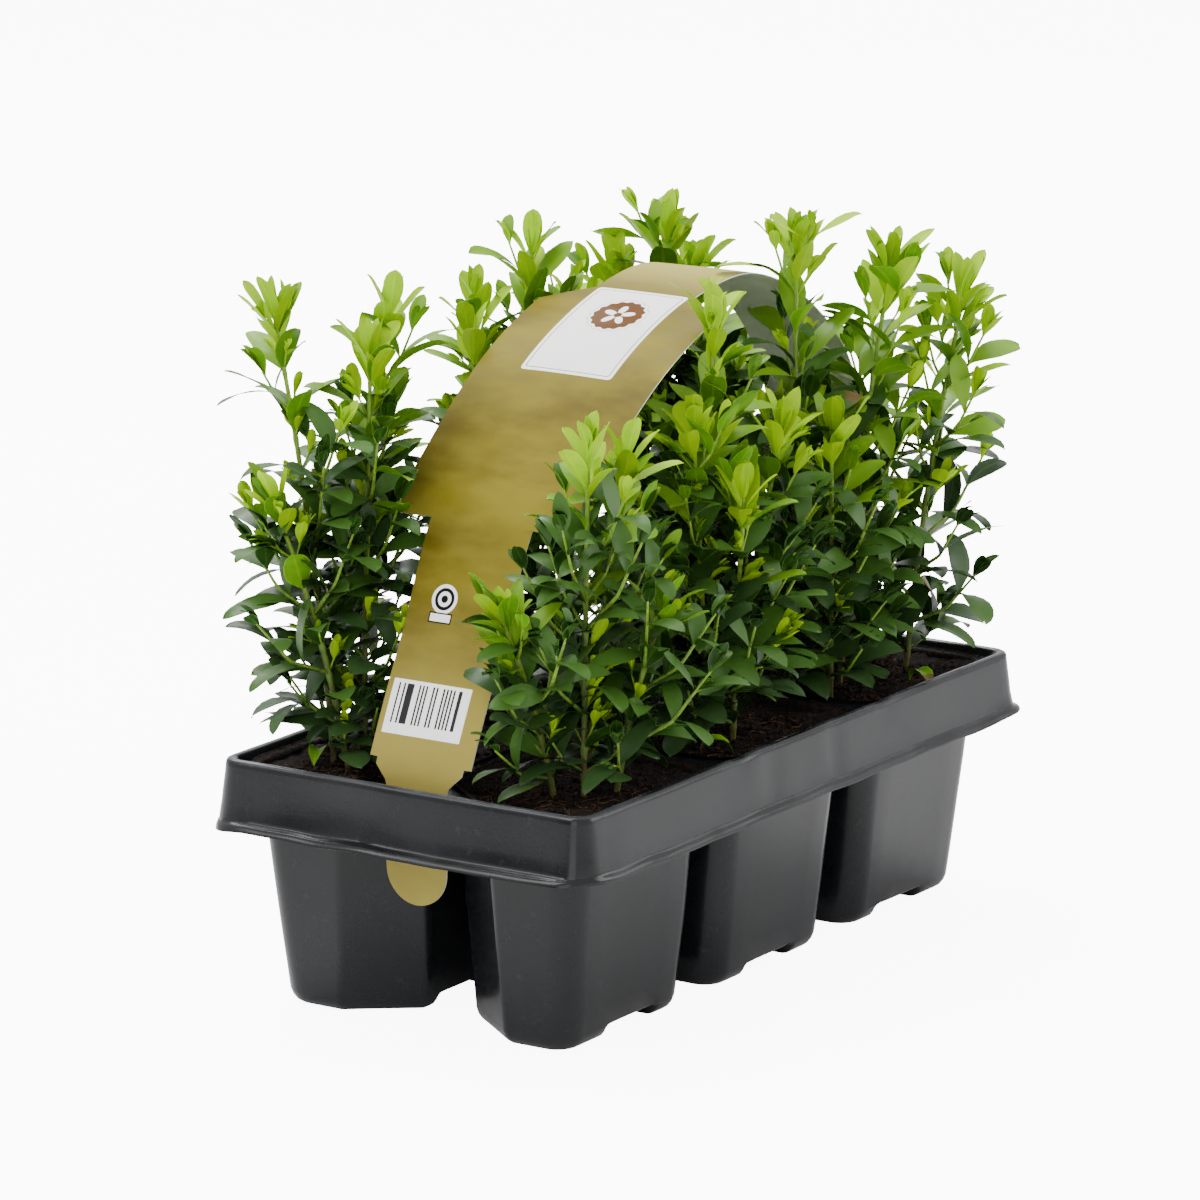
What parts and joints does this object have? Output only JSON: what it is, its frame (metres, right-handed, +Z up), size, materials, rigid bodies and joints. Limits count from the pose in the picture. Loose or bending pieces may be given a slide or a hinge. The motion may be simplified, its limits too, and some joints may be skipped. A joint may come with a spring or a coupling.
{
  "type": "nursery tray of young box plants",
  "caption": "Young unclipped box plants in a black nursery tray of cells, with a gold card carrying band arched over them and tucked into the tray's short ends.",
  "frame": {"origin": "on the ground under the middle of the tray, at the level of the cells' feet", "axes": "+X along the tray towards the end where the band drops steeply, +Y across it, +Z up"},
  "size_m": [0.3013, 0.1726, 0.2544],
  "materials": {
    "tray": "semi-gloss black formed plastic sheet",
    "band": "gold printed card with a satin film, white patches",
    "compost": "moist dark fibrous compost",
    "stem": "green young bark, brown at the foot",
    "leaf": "glossy small evergreen leaves, lime at the shoot tips"
  },
  "bodies": {
    "root": {"tray": "tray", "band": "band", "soil_far_left": "compost", "soil_far_mid": "compost", "soil_far_right": "compost", "soil_near_left": "compost", "soil_near_mid": "compost", "soil_near_right": "compost", "stem_far_left_1": "stem", "stem_far_left_2": "stem", "stem_far_left_3": "stem", "stem_far_left_4": "stem", "stem_far_mid_1": "stem", "stem_far_mid_2": "stem", "stem_far_mid_3": "stem", "stem_far_mid_4": "stem", "stem_far_right_1": "stem", "stem_far_right_2": "stem", "stem_far_right_3": "stem", "stem_far_right_4": "stem", "stem_near_left_1": "stem", "stem_near_left_2": "stem", "stem_near_left_3": "stem", "stem_near_left_4": "stem", "stem_near_mid_1": "stem", "stem_near_mid_2": "stem", "stem_near_mid_3": "stem", "stem_near_mid_4": "stem", "stem_near_right_1": "stem", "stem_near_right_2": "stem", "stem_near_right_3": "stem", "stem_near_right_4": "stem", "foliage_far_left_1": "leaf", "foliage_far_left_2": "leaf", "foliage_far_left_3": "leaf", "foliage_far_left_4": "leaf", "foliage_far_mid_1": "leaf", "foliage_far_mid_2": "leaf", "foliage_far_mid_3": "leaf", "foliage_far_mid_4": "leaf", "foliage_far_right_1": "leaf", "foliage_far_right_2": "leaf", "foliage_far_right_3": "leaf", "foliage_far_right_4": "leaf", "foliage_near_left_1": "leaf", "foliage_near_left_2": "leaf", "foliage_near_left_3": "leaf", "foliage_near_left_4": "leaf", "foliage_near_mid_1": "leaf", "foliage_near_mid_2": "leaf", "foliage_near_mid_3": "leaf", "foliage_near_mid_4": "leaf", "foliage_near_right_1": "leaf", "foliage_near_right_2": "leaf", "foliage_near_right_3": "leaf", "foliage_near_right_4": "leaf"}
  },
  "joints": []
}
